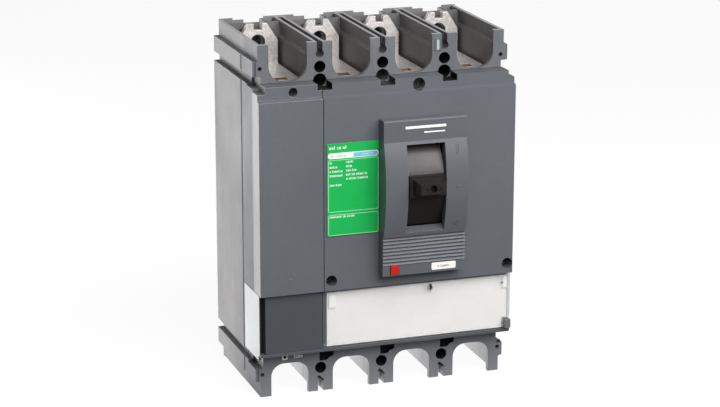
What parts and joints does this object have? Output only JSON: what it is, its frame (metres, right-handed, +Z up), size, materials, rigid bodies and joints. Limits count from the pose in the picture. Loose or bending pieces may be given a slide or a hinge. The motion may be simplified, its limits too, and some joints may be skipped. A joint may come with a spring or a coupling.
{
  "type": "moulded case circuit breaker",
  "caption": "Four-pole moulded-case switch-breaker with centre toggle, red trip button, clear hinged front flap and front-connection terminal bays.",
  "frame": {"origin": "centre of the rear mounting face", "axes": "+X right seen from the operator's side, +Y into the panel, +Z up (line terminals)"},
  "size_m": [0.185, 0.1373, 0.2504],
  "materials": {
    "case_grey": "fine moulded grain",
    "cover_grey": "fine moulded grain",
    "block_grey": "fine moulded grain",
    "panel_dark_grey": "fine moulded grain",
    "frame_grey": "satin moulded",
    "clear_plastic": "clear polished",
    "white_plastic": "satin",
    "green_label": "printed film",
    "red_plastic": "satin",
    "handle_brown_black": "satin moulded",
    "shield_brown_black": "satin moulded",
    "dark_screw_steel": "blackened",
    "tinned_copper": "matt tin plate",
    "zinc_steel": "zinc plated",
    "spring_steel": "drawn wire",
    "bare_copper": "bare copper",
    "rotor_black_plastic": "glass-filled moulding",
    "chute_steel_and_fibre": "plated steel and fibre"
  },
  "bodies": {
    "housing": {"arc_chute_low_l1": "chute_steel_and_fibre", "arc_chute_low_l2": "chute_steel_and_fibre", "arc_chute_low_l3": "chute_steel_and_fibre", "arc_chute_low_n": "chute_steel_and_fibre", "arc_chute_top_l1": "chute_steel_and_fibre", "arc_chute_top_l2": "chute_steel_and_fibre", "arc_chute_top_l3": "chute_steel_and_fibre", "arc_chute_top_n": "chute_steel_and_fibre", "blank_plate": "white_plastic", "cover_screw_1": "dark_screw_steel", "cover_screw_2": "dark_screw_steel", "cover_screw_3": "dark_screw_steel", "cover_screw_4": "dark_screw_steel", "escutcheon": "frame_grey", "front_case": "case_grey", "label_plate": "green_label", "line_nut_l1": "zinc_steel", "line_nut_l2": "zinc_steel", "line_nut_l3": "zinc_steel", "line_nut_n": "zinc_steel", "line_terminal_l1": "tinned_copper", "line_terminal_l2": "tinned_copper", "line_terminal_l3": "tinned_copper", "line_terminal_n": "tinned_copper", "load_nut_l1": "zinc_steel", "load_nut_l2": "zinc_steel", "load_nut_l3": "zinc_steel", "load_nut_n": "zinc_steel", "load_terminal_l1": "tinned_copper", "load_terminal_l2": "tinned_copper", "load_terminal_l3": "tinned_copper", "load_terminal_n": "tinned_copper", "main_cover": "cover_grey", "neutral_cover": "cover_grey", "neutral_panel": "panel_dark_grey", "pivot_pin": "zinc_steel", "rating_plate": "white_plastic", "rear_case": "case_grey", "side_plate_left": "zinc_steel", "side_plate_right": "zinc_steel", "trip_block": "block_grey"},
    "handle": {"toggle_handle": "handle_brown_black", "toggle_shield": "shield_brown_black", "toggle_yoke": "zinc_steel", "main_spring_left": "spring_steel", "main_spring_right": "spring_steel"},
    "contacts": {"contact_shaft": "rotor_black_plastic", "contact_bridge_n": "bare_copper", "contact_bridge_l1": "bare_copper", "contact_bridge_l2": "bare_copper", "contact_bridge_l3": "bare_copper"},
    "link": {"drive_link": "zinc_steel"},
    "button": {"trip_button": "red_plastic"},
    "tripper": {"trip_bar": "rotor_black_plastic"},
    "flap": {"clear_cover": "clear_plastic"}
  },
  "joints": [
    {"name": "handle_swing", "type": "hinge", "parent": "housing", "child": "handle", "pos_m": [0.0225, -0.0805, 0.0223], "axis": [-1, 0, 0], "range_deg": [-24, 20]},
    {"name": "contact_turn", "type": "hinge", "parent": "housing", "child": "contacts", "pos_m": [0, -0.036, 0.005], "axis": [-1, 0, 0], "range_deg": [-24.5, 20.5]},
    {"name": "link_turn", "type": "hinge", "parent": "contacts", "child": "link", "pos_m": [0.0225, -0.02984, 0.02084], "axis": [-1, 0, 0], "range_deg": [-20.5, 24.5]},
    {"name": "trip_push", "type": "slide", "parent": "housing", "child": "button", "axis": [0, 1, 0], "range_m": [0, 0.0025]},
    {"name": "trip_bar_turn", "type": "hinge", "parent": "housing", "child": "tripper", "pos_m": [0.02, -0.1, -0.022], "axis": [1, 0, 0], "range_deg": [0, 15]},
    {"name": "flap_turn", "type": "hinge", "parent": "housing", "child": "flap", "pos_m": [0.02, -0.1064, -0.0869], "axis": [1, 0, 0], "range_deg": [0, 95]}
  ],
  "couplings": [
    {"joint": "contact_turn", "follows": "handle_swing", "ratio": 1},
    {"joint": "link_turn", "follows": "handle_swing", "ratio": -1},
    {"joint": "trip_bar_turn", "follows": "trip_push", "rad_per_m": 101.2}
  ]
}
